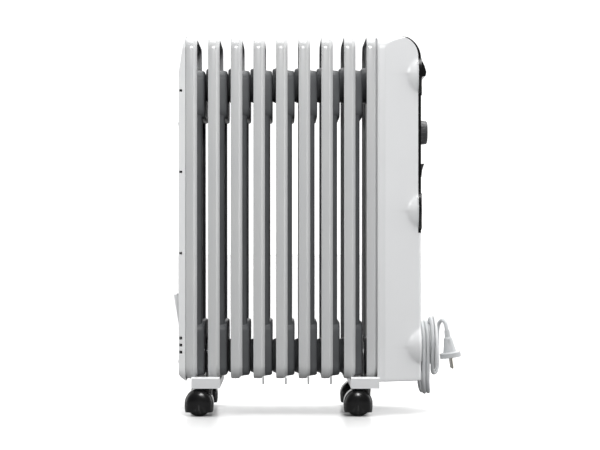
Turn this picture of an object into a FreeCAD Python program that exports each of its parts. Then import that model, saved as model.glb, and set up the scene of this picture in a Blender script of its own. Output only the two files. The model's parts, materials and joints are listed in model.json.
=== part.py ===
import FreeCAD, Part
import math
import os

# Oil filled radiator heater. Millimetres, +Z up, origin on the floor at the middle of the body.
# +X points to the control housing, +Y to the right of someone who faces that housing's back.

# --- driving dimensions: fins -------------------------------------------------------------
fin_count = 9
fin_pitch = 38.66
fin_depth = 160.0           # along Y
fin_bottom = 61.5
fin_height = 588.3
fin_corner = 24.0
sheet = 0.8                 # steel sheet of the fins
rim_width = 13.5            # flat band round the edge
lip_width = 6.3             # slanted return of the band
lip_inset = 6.0
web_start = 6.0             # the two sheets meet here, from the band's left edge
header_reach = fin_pitch - 6.66   # a fin's pads end here and the next fin's bosses meet them
header_low_up = 35.0        # lower header's height above the fins' bottom
header_high_down = 78.5     # upper header's depth under the fins' top
boss_base_r = 32.0
boss_tip_r = 28.0
header_bore_r = 24.0
pad_half_depth = fin_depth / 2 - 10.0
pad_taper = 4.0
pad_corner = 20.0
pad_low_reach = (33.0, 66.5)     # below and above the lower header's middle
pad_high_reach = (66.0, 23.0)
channel_edge = 12.0         # from the fin's edge to the oil channel
channel_width = 32.0
channel_taper = 6.0
channel_reach = 27.5

# --- driving dimensions: end covers and controls ------------------------------------------
cover_depth = 12.0
cover_wall = 2.0
cover_taper = 8.0           # the cover narrows by this on every side
grip_proud = 10.1
grip_top_up = 143.5         # above the fins' bottom
grip_height = 63.0
grip_half_width = 45.0
housing_gap = 4.9
housing_depth = 76.2
housing_wall = 2.5
housing_low = 57.5
housing_strip = 13.2        # full-depth strip at the housing's back
housing_front_half = fin_depth / 2 - 21.0
housing_top_r = 38.0
vent_count = 6
vent_pitch = 8.0
vent_half = 42.0
ear_half_width = fin_depth / 2 - 6.0
ear_half_height = 40.0
ear_length = 30.0
ear_flare = 8.0
ear_heights = (116.0, 349.0, 582.0)
fascia_thick = 5.0
fascia_low = 312.0
dome_proud = 5.0
handle_height = 582.0
handle_half_width = 46.0
handle_proud = 10.4
pocket_deep = 24.0
pocket_height = 30.0
lamp_height = 534.8
lamp_r = 4.5
knob_height = 488.6
knob_r = 21.2
knob_proud = 15.4
knob_gap = 0.6
shaft_r = 3.0
switch_height = 423.5
switch_spacing = 22.0
rocker_half_height = 11.7
rocker_half_width = 7.0
rocker_face = 8.5           # from the rocker's pivot to its flat face
rocker_pivot_deep = 1.3
rocker_tilt = 11.8          # degrees each side of the middle

# --- driving dimensions: winder, cord, castors --------------------------------------------
winder_height = 119.5
winder_hub_r = 33.0
winder_hub_length = 26.1
winder_flange_r = 47.2
winder_flange = 4.4
cord_d = 6.5
relief_length = 30.0
bracket_length = 48.0       # along X
bracket_half_depth = fin_depth / 2 + 18.0
bracket_low = 47.9
bracket_drop = 1.0          # bracket's middle under the fins' bottom
bracket_end_up = 6.3
bracket_wall = 3.0
castor_offset = bracket_half_depth - 21.5    # swivel axis from the middle plane
castor_trail = 11.5
hood_r = 24.5
hood_wall = 1.6
hood_edge = 11.0            # from the castor's middle to where the dome starts
hood_low = 7.0
collar_r = 10.5
wheel_room = 0.6
wheel_r = 22.3
wheel_width = 13.5
castor_web = 5.5            # half thickness of the middle wall between the wheels
axle_r = 3.0
stem_r = 4.0

# --- clearances ---------------------------------------------------------------------------
running = 0.08
gap = 0.3
seat = 0.1

# --- places worked out from the dimensions above ------------------------------------------
overall = (grip_proud + cover_depth + (fin_count - 1) * fin_pitch + rim_width + housing_gap
           + housing_depth + winder_hub_length + winder_flange)
cover_x = -overall / 2 + grip_proud
first_fin_x = cover_x + cover_depth
last_fin_x = first_fin_x + (fin_count - 1) * fin_pitch
fin_top = fin_bottom + fin_height
header_low = fin_bottom + header_low_up
header_high = fin_top - header_high_down
housing_x = last_fin_x + rim_width + housing_gap
front_x = housing_x + housing_depth
housing_top = fin_top + 0.2
fin_half = fin_depth / 2
inner_front_x = front_x - fascia_thick - housing_wall
flange_x = last_fin_x + header_reach


def vec(x, y, z):
    return FreeCAD.Vector(x, y, z)


def block(x0, x1, y0, y1, z0, z1):
    return Part.makeBox(x1 - x0, y1 - y0, z1 - z0, vec(x0, y0, z0))


def rod_x(r, x0, x1, y, z):
    return Part.makeCylinder(r, x1 - x0, vec(x0, y, z), vec(1, 0, 0))


def rod_y(r, y0, y1, x, z):
    return Part.makeCylinder(r, y1 - y0, vec(x, y0, z), vec(0, 1, 0))


def rod_z(r, z0, z1, x, y):
    return Part.makeCylinder(r, z1 - z0, vec(x, y, z0), vec(0, 0, 1))


def joined(shapes):
    return shapes[0].fuse(list(shapes[1:])).removeSplitter()


def rounded(x, y0, y1, z0, z1, r):
    """Closed wire of a rectangle with round corners, in the plane at x."""
    r = max(0.5, min(r, (y1 - y0) / 2 - 0.01, (z1 - z0) / 2 - 0.01))
    d = r * (1 - math.sqrt(0.5))
    p = [vec(x, y, z) for y, z in (
        (y0 + r, z0), (y1 - r, z0), (y1 - d, z0 + d), (y1, z0 + r), (y1, z1 - r), (y1 - d, z1 - d),
        (y1 - r, z1), (y0 + r, z1), (y0 + d, z1 - d), (y0, z1 - r), (y0, z0 + r), (y0 + d, z0 + d))]
    edges = []
    for i in range(0, 12, 3):
        edges.append(Part.LineSegment(p[i], p[i + 1]).toShape())
        edges.append(Part.Arc(p[i + 1], p[i + 2], p[(i + 3) % 12]).toShape())
    return Part.Wire(edges)


def plate_x(x0, x1, y0, y1, z0, z1, r):
    return Part.Face(rounded(x0, y0, y1, z0, z1, r)).extrude(vec(x1 - x0, 0, 0))


def tapered(x0, x1, y0, y1, z0, z1, r, inset):
    """Rounded block that narrows by inset on every side from x0 to x1."""
    near = rounded(x0, y0, y1, z0, z1, r)
    far = rounded(x1, y0 + inset, y1 - inset, z0 + inset, z1 - inset, r - inset)
    return Part.makeLoft([near, far], True, True)


def outline_y(points, y0, y1):
    """Prism along Y of a polygon given as (x, z) corners."""
    face = Part.Face(Part.makePolygon([vec(x, y0, z) for x, z in points + points[:1]]))
    return face.extrude(vec(0, y1 - y0, 0))


def outline_z(points, z0, z1):
    """Prism along Z of a polygon given as (x, y) corners."""
    face = Part.Face(Part.makePolygon([vec(x, y, z0) for x, y in points + points[:1]]))
    return face.extrude(vec(0, 0, z1 - z0))


def turned(points, place, axis, start):
    """Solid turned round an axis, from (along, radius) corners."""
    side = vec(0, 0, 1) if abs(axis.z) < 0.9 else vec(0, 1, 0)
    side = axis.cross(side).normalize()
    corners = [place + axis * (start + a) + side * r for a, r in points]
    return Part.Face(Part.makePolygon(corners + corners[:1])).revolve(place, axis, 360)


def tube(points, radius, report=None):
    """Round tube along straight runs joined by tangent arcs, each as large as its runs allow."""
    points = [vec(*p) for p in points]
    edges, radii = [], []
    last = points[0]
    for before, corner, after in zip(points, points[1:], points[2:]):
        back, on = (before - corner), (after - corner)
        cut = 0.45 * min(back.Length, on.Length)
        back.normalize()
        on.normalize()
        half = (math.pi - back.getAngle(on)) / 2
        bend = cut / math.tan(half)
        start, end = corner + back * cut, corner + on * cut
        middle_way = (back + on).normalize()
        middle = corner + middle_way * (bend / math.cos(half) - bend)
        edges.append(Part.LineSegment(last, start).toShape())
        edges.append(Part.Arc(start, middle, end).toShape())
        radii.append(bend)
        last = end
    edges.append(Part.LineSegment(last, points[-1]).toShape())
    path = Part.Wire(edges)
    ring = Part.Wire(Part.makeCircle(radius, points[0], points[1] - points[0]))
    solid = path.makePipeShell([ring], True, False)
    if report:
        section = math.pi * radius ** 2 * path.Length
        print(report, "length", round(path.Length, 1), "radii", [round(r, 1) for r in radii],
              "volume share", round(solid.Volume / section, 3))
    return solid


def screw_x(x, y, z, length, head_r, way):
    """Pan head screw along X; way is +1 where the head faces +X."""
    axis = vec(way, 0, 0)
    shank = head_r * 0.5
    corners = [(-length, 0), (-length, shank), (0, shank), (0, head_r), (head_r * 0.45, head_r * 0.8),
               (head_r * 0.6, 0)]
    body = turned(corners, vec(x, y, z), axis, 0)
    slot = Part.makeBox(head_r, head_r * 1.5, head_r * 0.25,
                        vec(x + (head_r * 0.3 if way > 0 else -head_r * 1.3), y - head_r * 0.75,
                            z - head_r * 0.125))
    return body.cut(slot)


def fin(i):
    """One fin: two sheets welded at the web, rim band, oil channels, pads and header bosses."""
    x0 = first_fin_x + i * fin_pitch
    web_x = x0 + web_start
    web_end = web_x + 2 * sheet
    y0, y1 = -fin_half, fin_half
    rim_end = x0 + rim_width
    band = plate_x(x0, rim_end, y0, y1, fin_bottom, fin_top, fin_corner)
    band = band.cut(plate_x(x0 - 1, rim_end + 1, y0 + sheet, y1 - sheet, fin_bottom + sheet,
                            fin_top - sheet, fin_corner - sheet))
    wall = sheet * 1.2
    lip = tapered(rim_end, rim_end + lip_width, y0, y1, fin_bottom, fin_top, fin_corner, lip_inset)
    lip = lip.cut(tapered(rim_end, rim_end + lip_width, y0 + wall, y1 - wall, fin_bottom + wall,
                          fin_top - wall, fin_corner - wall, lip_inset))
    web = plate_x(web_x, web_end, y0 + sheet / 2, y1 - sheet / 2, fin_bottom + sheet / 2,
                  fin_top - sheet / 2, fin_corner - sheet / 2)
    pieces = [band, lip, web]
    cavities = []
    for header in (header_low, header_high):
        down, up = pad_low_reach if header == header_low else pad_high_reach
        for inset, kept in ((0, pieces), (sheet, cavities)):
            end = x0 + header_reach - inset
            kept.append(tapered(web_end - inset, end, -pad_half_depth + inset, pad_half_depth - inset,
                                header - down + inset, header + up - inset, pad_corner, pad_taper))
            kept.append(Part.makeCone(boss_tip_r - inset, boss_base_r - inset,
                                      fin_pitch - header_reach + web_start + sheet - inset,
                                      vec(x0 + header_reach - fin_pitch + inset, 0, header),
                                      vec(1, 0, 0)))
    for side in (-1, 1):
        for inset, kept in ((0, pieces), (sheet, cavities)):
            a = side * (fin_half - channel_edge - inset)
            b = side * (fin_half - channel_edge - channel_width + inset)
            kept.append(tapered(web_end - inset, x0 + channel_reach - inset, min(a, b), max(a, b),
                                header_low, header_high, channel_taper + 1.5, channel_taper))
    if not over_bracket(x0 + 16.7):
        pieces.append(block(x0 + 15, x0 + 18.5, -72, -63, fin_bottom - 8.6, fin_bottom + 5))
    solid = joined(pieces)
    for cavity in cavities:
        solid = solid.cut(cavity)
    for header in (header_low, header_high):
        start = x0 + header_reach - fin_pitch - 1 if i > 0 else web_x
        end = x0 + header_reach + 1
        if i == fin_count - 1 and header == header_high:
            end = web_end
        solid = solid.cut(rod_x(header_bore_r, start, end, 0, header))
    if i == 0:
        solid = solid.cut(rod_x(6.0 + seat, x0 - 10, web_x, 0, header_high))
    return solid.removeSplitter()


bracket_seams = (0, fin_count - 2)


def bracket_x(seam):
    """Middle of the bracket that hangs from the header seam after a fin."""
    return first_fin_x + seam * fin_pitch + header_reach + 3.3


def over_bracket(x):
    return any(abs(x - bracket_x(s)) < bracket_length / 2 + 3 for s in bracket_seams)


def rear_cover_body(inset):
    side = [(first_fin_x, housing_low - 0.5 + inset), (cover_x + 8, housing_low - 0.5 + inset),
            (cover_x + inset, 69.0 + inset * 0.4), (cover_x + inset, fin_top - 64),
            (cover_x + 9.6, fin_top - 4 - inset), (first_fin_x, fin_top - inset)]
    body = outline_y(side, -fin_half - 1, fin_half + 1)
    return body.common(tapered(first_fin_x, cover_x, -fin_half + inset, fin_half - inset,
                               housing_low - 0.5 + inset, fin_top - inset, fin_corner - inset,
                               cover_taper))


def rear_cover():
    shell = rear_cover_body(0).cut(rear_cover_body(cover_wall))
    top = fin_bottom + grip_top_up
    wedge = outline_y([(cover_x + 1, top), (cover_x - grip_proud, top),
                       (cover_x + 1, top - grip_height - 6)], -grip_half_width, grip_half_width)
    pocket = outline_y([(cover_x + 1, top + 1), (cover_x + 2.0 - grip_proud, top + 1),
                        (cover_x + 1, top - grip_height + 16)],
                       -grip_half_width + 2, grip_half_width - 2)
    shell = shell.fuse(wedge).cut(pocket)
    grooves = [(z, 4.0) for z in (277.0, 416.0, 555.0)] + [(z, 5.0) for z in (108.0, 120.0, 132.0)]
    for z, tall in grooves:
        for side in (-1, 1):
            a, b = side * (fin_half - 15), side * (fin_half + 1)
            shell = shell.cut(block(cover_x - 1, cover_x + 6.5, min(a, b), max(a, b),
                                    z - tall / 2, z + tall / 2))
    for y, z in cover_screw_places:
        shell = shell.cut(rod_x(2.0 + seat, cover_x - 1, cover_x + cover_wall + 1, y, z))
        shell = shell.fuse(rod_x(5.0, cover_x + cover_wall - 0.5, first_fin_x - seat, y, z)
                           .cut(rod_x(2.0 + seat, cover_x, first_fin_x, y, z)))
    return shell


cover_screw_places = [(s * 50.0, z) for s in (-1, 1) for z in (90.0, 500.0)]


def stadium(x, half_width, half_height, z):
    return rounded(x, -half_width, half_width, z - half_height, z + half_height, half_height)


def housing_profile(front, top_inset, low_inset, inset):
    """Side view of the housing, with its round upper front corner, as a prism along Y."""
    r = housing_top_r - inset
    top = housing_top - top_inset
    x1 = front
    d = r * (1 - math.sqrt(0.5))
    low = housing_low + low_inset
    p = [vec(x, -100, z) for x, z in (
        (housing_x - 1, low), (x1, low + 3.0), (x1, top - r), (x1 - d, top - d), (x1 - r, top),
        (housing_x - 1, top))]
    edges = [Part.LineSegment(p[0], p[1]), Part.LineSegment(p[1], p[2]), Part.Arc(p[2], p[3], p[4]),
             Part.LineSegment(p[4], p[5]), Part.LineSegment(p[5], p[0])]
    return Part.Face(Part.Wire([e.toShape() for e in edges])).extrude(vec(0, 200, 0))


def housing_body(inset, front_inset):
    """The housing's outer form, or the same form inset by a wall."""
    front = front_x - front_inset
    strip_x = housing_x + housing_strip
    half, narrow = fin_half - inset, housing_front_half - inset
    plan = [(housing_x - 1, -half), (strip_x, -half), (front_x, -narrow), (front_x, narrow),
            (strip_x, half), (housing_x - 1, half)]
    form = housing_profile(front, inset, inset, front_inset)
    form = form.common(outline_z(plan, 0, 800))
    form = form.common(plate_x(housing_x - (1 if inset else 0), front, -half, half,
                               housing_low - 18 + inset, housing_top - inset, fin_corner - inset))
    ears = []
    for z in ear_heights:
        back = stadium(front_x - ear_length, ear_half_width - ear_flare - inset,
                       ear_half_height - ear_flare - inset, z)
        face = stadium(front_x, ear_half_width - inset, ear_half_height - inset, z)
        ear = Part.makeLoft([back, face], True, True)
        if front_inset:
            ear = ear.common(block(front_x - 60, front, -100, 100, 0, 800))
        ears.append(ear)
    return joined([form] + ears)


def fascia_zone():
    """The space in front of and above the line where the fascia seats."""
    zone = block(front_x - housing_top_r - 2, front_x + 40, -100, 100, fascia_low, housing_top + 20)
    return zone.cut(housing_profile(front_x - fascia_thick, 1.6, 0, fascia_thick))


def dome(z):
    """Shallow pillow on a stadium base that stands dome_proud out of the fascia."""
    base_w, base_h = ear_half_width - 4, ear_half_height - 4
    base = Part.Face(stadium(front_x - 1, base_w, base_h, z)).extrude(vec(dome_proud + 1, 0, 0))
    tall_r = (base_h ** 2 + dome_proud ** 2) / (2 * dome_proud)
    wide_r = (base_w ** 2 + dome_proud ** 2) / (2 * dome_proud)
    tall = rod_y(tall_r, -200, 200, front_x + dome_proud - tall_r, z)
    wide = rod_z(wide_r, z - 100, z + 100, front_x + dome_proud - wide_r, 0)
    return base.common(tall).common(wide)


def switch_y(side):
    return side * switch_spacing / 2


def handle_envelope(extra, front=2.5):
    return block(front_x - pocket_deep - extra, front_x + front, -handle_half_width - 2 - extra,
                 handle_half_width + 2 + extra, handle_height - pocket_height - 2 - extra,
                 handle_height + 2 + extra)


def handle_lip():
    z = handle_height
    side = [(front_x - 3, z + 29), (front_x + 2.2, z + 29), (front_x + 7.2, z + 19),
            (front_x + handle_proud, z + 8), (front_x + handle_proud - 1.2, z + 1.5),
            (front_x + handle_proud - 5, z), (front_x - 3, z)]
    return outline_y(side, -handle_half_width, handle_half_width)


def front_handle():
    cup = handle_envelope(0).cut(block(front_x - pocket_deep + 2, front_x + 4, -handle_half_width,
                                       handle_half_width, handle_height - pocket_height,
                                       handle_height))
    return joined([cup, handle_lip()])


def switch_cut(side, extra):
    y = switch_y(side)
    return block(front_x - 24 - extra, front_x + 3, y - rocker_half_width - 1.6 - extra,
                 y + rocker_half_width + 1.6 + extra, switch_height - rocker_half_height - 2.2 - extra,
                 switch_height + rocker_half_height + 2.2 + extra)


def front_fascia():
    plate = joined([housing_body(0, 0).common(fascia_zone())]
                   + [dome(z) for z in ear_heights[1:]])
    plate = plate.cut(block(front_x - 60, front_x + 60, -200, 200, 0, fascia_low))
    plate = plate.cut(handle_envelope(seat, 20)).cut(handle_lip())
    plate = plate.cut(rod_x(shaft_r + gap, front_x - 20, front_x + 20, 0, knob_height))
    plate = plate.cut(rod_x(lamp_r + seat, front_x - 20, front_x + 20, 0, lamp_height))
    for side in (-1, 1):
        plate = plate.cut(switch_cut(side, seat))
    for y, z in fascia_screw_places:
        plate = plate.cut(rod_x(1.5 + seat, front_x - fascia_thick - 1, front_x - 1.2, y, z))
    return plate


fascia_screw_places = [(s * 48.0, z) for s in (-1, 1) for z in (400.0, 530.0)]
winder_screw_places = [(20 * math.cos(a), winder_height + 20 * math.sin(a))
                       for a in (math.pi / 2, math.pi * 7 / 6, math.pi * 11 / 6)]
relief_tip = vec(front_x + 4.26, -14.0, 57.5)
relief_way = vec(-0.36, 0.0, 1.0).normalize()   # from the tip back into the housing


def control_housing():
    cavity = housing_body(housing_wall, fascia_thick + housing_wall)
    low_part = housing_body(housing_wall, housing_wall)
    low_part = low_part.common(block(front_x - 100, front_x, -100, 100, 0,
                                     fascia_low - housing_wall))
    shell = housing_body(0, 0).cut(cavity).cut(low_part).cut(fascia_zone())
    shell = shell.cut(handle_envelope(gap))
    shell = shell.cut(rod_x(shaft_r + gap, front_x - 20, front_x, 0, knob_height))
    shell = shell.cut(rod_x(lamp_r + seat, front_x - 20, front_x, 0, lamp_height))
    for side in (-1, 1):
        shell = shell.cut(switch_cut(side, seat))
    for y, z in fascia_screw_places:
        shell = shell.cut(rod_x(1.5 + seat, inner_front_x - 1, front_x, y, z))
    for y, z in winder_screw_places:
        shell = shell.cut(rod_x(1.75 + seat, front_x - housing_wall - 1, front_x + 1, y, z))
    shell = shell.cut(strain_relief_form(seat))
    for i in range(vent_count):
        x = housing_x + 8 + vent_pitch * i
        shell = shell.cut(block(x, x + vent_pitch / 2, -vent_half, vent_half, housing_low - 1,
                                housing_low + 8))
    return shell


def strain_relief_form(extra):
    """Tapered sleeve with a collar, on the slanted line where the cord leaves the housing."""
    corners = [(0, 0), (0, 4.2 + extra), (relief_length - 6, 5.4 + extra),
               (relief_length - 6, 6.6 + extra), (relief_length + 4, 6.6 + extra),
               (relief_length + 4, 0)]
    return turned(corners, relief_tip, relief_way, 0)


def strain_relief():
    hole = Part.makeCylinder(cord_d / 2 + seat, relief_length + 12, relief_tip - relief_way,
                             relief_way)
    return strain_relief_form(0).cut(hole)


def cord_winder():
    end = front_x + winder_hub_length
    z = winder_height
    hub = rod_x(winder_hub_r, front_x, end, 0, z)
    rim = [(0, 0), (0, winder_flange_r - 1.5), (1.5, winder_flange_r),
           (winder_flange - 1.5, winder_flange_r), (winder_flange, winder_flange_r - 1.5),
           (winder_flange, 0)]
    body = joined([hub, turned(rim, vec(end, 0, z), vec(1, 0, 0), 0)])
    body = body.cut(rod_x(winder_hub_r - 3, front_x + 3, end + winder_flange + 1, 0, z))
    for y, h in winder_screw_places:
        body = body.cut(rod_x(1.75 + seat, front_x - 1, front_x + 5, y, h))
    return body


def belt(r_top, r_low, low_z, x0, x1):
    """Closed loop form round the hub above and a smaller circle that hangs below it."""
    centre_top, centre_low = winder_height, low_z
    lean = math.asin((r_top - r_low) / (centre_top - centre_low))
    c, s = math.cos(lean), math.sin(lean)
    a = vec(x0, -r_top * c, centre_top - r_top * s)
    b = vec(x0, r_top * c, centre_top - r_top * s)
    d = vec(x0, r_low * c, centre_low - r_low * s)
    e = vec(x0, -r_low * c, centre_low - r_low * s)
    edges = [Part.Arc(a, vec(x0, 0, centre_top + r_top), b), Part.LineSegment(b, d),
             Part.Arc(d, vec(x0, 0, centre_low - r_low), e), Part.LineSegment(e, a)]
    return Part.Face(Part.Wire([g.toShape() for g in edges])).extrude(vec(x1 - x0, 0, 0))


loop_low_r = 27.0
loop_low_z = 59.4
loops_x0 = front_x + 4.2
loops_x1 = loops_x0 + 2 * cord_d + 0.8
turns_x0 = loops_x1 + 1.0
turns_x1 = turns_x0 + cord_d + 0.2


def cord_loops():
    r = winder_hub_r + 0.15
    outer = belt(r + cord_d, loop_low_r + cord_d / 2, loop_low_z, loops_x0, loops_x1)
    return outer.cut(belt(r, loop_low_r - cord_d / 2, loop_low_z, loops_x0 - 1, loops_x1 + 1))


def cord_turns():
    r = winder_hub_r + 0.15
    ring = rod_x(r + 2 * cord_d, turns_x0, turns_x1, 0, winder_height)
    return ring.cut(rod_x(r, turns_x0 - 1, turns_x1 + 1, 0, winder_height))


# The cord's free stretches are routes of points; the first stretch ends in the loops and the
# last one starts in the turns, goes round the flange's lower edge and up to the plug.
lead_route = [(front_x + x, y, z) for x, y, z in (
    (4.26, -14, 57.5), (7.66, -13.6, 47.5), (8.66, -7.5, 38.8), (8.26, 0.5, 35))]
turn_end_r = winder_hub_r + 12.0
tail_route = [(front_x + x, y, z) for x, y, z in (
    (22.46, -0.667 * turn_end_r, winder_height - 0.745 * turn_end_r), (23.26, -18, 71.5),
    (26.86, -7, 65.4), (33.26, 1.5, 69), (35.26, 7, 84),
    (34.46, 9.5, 107), (34.76, 8, 131), (35.46, 6.4, 144.5), (37.46, 1.6, 154.6),
    (41.06, -6.2, 159.4), (44.86, -14.8, 157.6), (47.56, -20.4, 150), (48.36, -21.6, 142.5))]
plug_top = vec(*tail_route[-1])
plug_way = vec(0.139, 0.0, -0.99).normalize()
pin_r = 2.4
pin_shank_r = 1.9
pin_y = 9.5


def plug_body():
    corners = [(0, 0), (0, 4.3), (12, 5.2), (15, 7.2), (24, 8.6), (38, 11.5), (40, 18.3), (47, 18.3),
               (48, 17.5), (48, 0)]
    body = turned(corners, plug_top, plug_way, 0)
    along = plug_way
    across = vec(0, 1, 0)
    normal = along.cross(across)
    wing = Part.makeBox(18.0, 3.2, 4.5)
    turn = FreeCAD.Rotation(across, normal, along, "XYZ")
    wing.Placement = FreeCAD.Placement(plug_top + along * 15 - across * 9 - normal * 1.6, turn)
    body = joined([body, wing])
    for side in (-1, 1):
        hole = Part.makeCylinder(pin_shank_r, 10, plug_top + along * 40 + across * side * pin_y, along)
        body = body.cut(hole)
        notch = clip_form(side, 0.1, 9.2)
        body = body.cut(notch)
    return body


def clip_form(side, extra, long):
    """Earth clip strip on one edge of the plug's face, also used to cut its notch."""
    along = plug_way
    across = vec(0, 1, 0)
    normal = along.cross(across)
    strip = Part.makeBox(5.0 + 2 * extra, 1.4 + 2 * extra, long)
    turn = FreeCAD.Rotation(across, normal, along, "XYZ")
    place = (plug_top + along * (48.2 - long + extra) - across * (2.5 + extra)
             + normal * (side * 17.2 - 0.7 - extra))
    strip.Placement = FreeCAD.Placement(place, turn)
    return strip


def plug_pins():
    """Round pins, each on a thinner shank that is moulded into the plug."""
    corners = [(0, 0), (0, pin_shank_r), (8.2, pin_shank_r), (8.2, pin_r), (25.8, pin_r),
               (27.2, pin_r / 2), (27.2, 0)]
    return Part.Compound([turned(corners, plug_top + plug_way * 40 + vec(0, side * pin_y, 0),
                                 plug_way, 0) for side in (-1, 1)])


def thermostat_knob():
    back = front_x + knob_gap
    end = front_x + knob_proud
    corners = [(0, 0), (0, knob_r), (3, knob_r), (end - back - 1.5, knob_r - 1.0),
               (end - back, knob_r - 2.5), (end - back, 0)]
    knob = turned(corners, vec(back, 0, knob_height), vec(1, 0, 0), 0)
    grips = 18
    for i in range(grips):
        a = 2 * math.pi * i / grips
        y = (knob_r + 0.6) * math.cos(a)
        z = knob_height + (knob_r + 0.6) * math.sin(a)
        knob = knob.cut(rod_x(1.5, back + 3.5, end + 1, y, z))
    line = block(end - 0.8, end + 1, -0.8, 0.8, knob_height + 6, knob_height + knob_r - 4)
    return knob.cut(line).cut(rod_x(shaft_r, back - 1, back + 9, 0, knob_height))


def thermostat_shaft():
    return rod_x(shaft_r, inner_front_x - 12, front_x + knob_gap + 9, 0, knob_height)


def thermostat_body():
    box = block(inner_front_x - 26, inner_front_x - seat, -17, 17, knob_height - 15, knob_height + 15)
    tabs = block(inner_front_x - 24, inner_front_x - 20, -22, 22, knob_height - 4, knob_height + 4)
    hole = rod_x(shaft_r + running, inner_front_x - 12 - gap, inner_front_x + 1, 0, knob_height)
    return joined([box, tabs]).cut(hole)


def switch_body(side):
    y = switch_y(side)
    half_w, half_h = rocker_half_width, rocker_half_height
    outer = switch_cut(side, 0).common(block(front_x - 24, front_x + 2, -100, 100, 0, 900))
    flange = plate_x(front_x, front_x + 2, y - half_w - 3, y + half_w + 3,
                     switch_height - half_h - 3.8, switch_height + half_h + 3.8, 3.0)
    room = block(front_x - 9, front_x + 3, y - half_w - gap, y + half_w + gap,
                 switch_height - half_h - 0.4, switch_height + half_h + 0.4)
    pivot = rod_y(1.2 + running, y - half_w - 1.3, y + half_w + 1.3,
                  front_x - rocker_pivot_deep, switch_height)
    legs = [block(front_x - 31, front_x - 23.5, y - 2.4, y + 2.4, switch_height + d - 0.4,
                  switch_height + d + 0.4) for d in (-7, 0, 7)]
    return joined([outer, flange] + legs).cut(room).cut(pivot)


def rocker(side):
    """Rocker key at rest with its upper end out."""
    y = switch_y(side)
    px, pz = front_x - rocker_pivot_deep, switch_height
    half_h = rocker_half_height
    key = outline_y([(px - 3, pz - 7.5), (px - 3, pz + 7.5), (px + rocker_face - 3, pz + half_h - 0.8),
                     (px + rocker_face, pz + half_h), (px + rocker_face - 1.2, pz),
                     (px + rocker_face, pz - half_h), (px + rocker_face - 3, pz - half_h + 0.8)],
                    y - rocker_half_width, y + rocker_half_width)
    pin = rod_y(1.2, y - rocker_half_width - 1.1, y + rocker_half_width + 1.1, px, pz)
    key = joined([key, pin])
    key.rotate(vec(px, y, pz), vec(0, 1, 0), rocker_tilt)
    return key


def pilot_lamp():
    lens = [(0, 0), (0, lamp_r + 1.2), (0.8, lamp_r + 1.2), (0.8, lamp_r), (1.9, lamp_r * 0.8),
            (2.5, lamp_r * 0.4), (2.6, 0)]
    return joined([turned(lens, vec(front_x, 0, lamp_height), vec(1, 0, 0), 0),
                   rod_x(lamp_r, front_x - 14, front_x + 0.5, 0, lamp_height)])


element_flange_x = flange_x + 1.5
hairpin_places = ((0, 9.0), (0, -9.0))


def heating_element():
    """Two hairpin tubes in the lower header, with their cold pins behind the flange."""
    start = first_fin_x + 16
    hairpins = []
    for _, dz in hairpin_places:
        z = header_low + dz
        bend = Part.makeTorus(8, 4, vec(start, 0, z), vec(0, 0, 1))
        bend = bend.common(block(start - 20, start, -20, 20, z - 10, z + 10))
        pieces = [bend]
        for y in (-8, 8):
            pieces.append(rod_x(4, start, element_flange_x + 5, y, z))
            pieces.append(rod_x(1.6, element_flange_x + 5, element_flange_x + 16, y, z))
        hairpins.append(joined(pieces))
    return Part.Compound(hairpins)


def element_flange():
    disc = rod_x(30, element_flange_x, element_flange_x + 4, 0, header_low)
    for y in (-8, 8):
        for _, dz in hairpin_places:
            disc = disc.cut(rod_x(4, element_flange_x - 1, element_flange_x + 5, y, header_low + dz))
    return disc


def element_gasket():
    return rod_x(29, flange_x, element_flange_x, 0, header_low).cut(
        rod_x(header_bore_r, flange_x - 1, element_flange_x + 1, 0, header_low))


def oil_fill_plug():
    start = first_fin_x + header_reach - fin_pitch
    head = turned([(0, 0), (0, 8.5), (2.6, 8.5), (2.6, 0)], vec(start, 0, header_high),
                  vec(-1, 0, 0), 0)
    return joined([head, rod_x(6.0, start, start + 9, 0, header_high)])


shield_x = element_flange_x + 0.2
shield_half = fin_half - housing_wall - gap


def heat_shield():
    """Steel plate between the last fin and the controls, with a hole for the element flange."""
    plate = plate_x(shield_x, shield_x + 1.0, -shield_half, shield_half, housing_low + 8,
                    housing_top - 8, fin_corner - 6)
    plate = plate.common(housing_body(housing_wall + gap, fascia_thick + housing_wall + gap))
    plate = plate.cut(rod_x(30.5, shield_x - 1, shield_x + 2, 0, header_low))
    for i in range(6):
        plate = plate.cut(plate_x(shield_x - 1, shield_x + 2, -40, 40, 190 + 48 * i, 198 + 48 * i, 4))
    return plate


block_x = shield_x + 1.0
terminal_z = 215.0


def terminal_block():
    body = block(block_x, block_x + 16, -24, 24, terminal_z - 10, terminal_z + 10)
    for i in range(4):
        y = -18 + 12 * i
        for dz in (-5.5, 5.5):
            body = body.cut(rod_x(2.6, block_x + 9, block_x + 17, y, terminal_z + dz))
    return body


def thermal_cutout():
    z = 300.0
    can = turned([(0, 0), (0, 8), (6, 8), (7.5, 6.8), (7.5, 0)], vec(block_x, 30, z), vec(1, 0, 0), 0)
    tabs = [block(block_x + 7, block_x + 13, 28.4 + s * 4, 31.6 + s * 4, z - 0.4, z + 0.4)
            for s in (-1, 1)]
    return joined([can] + tabs)


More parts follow.
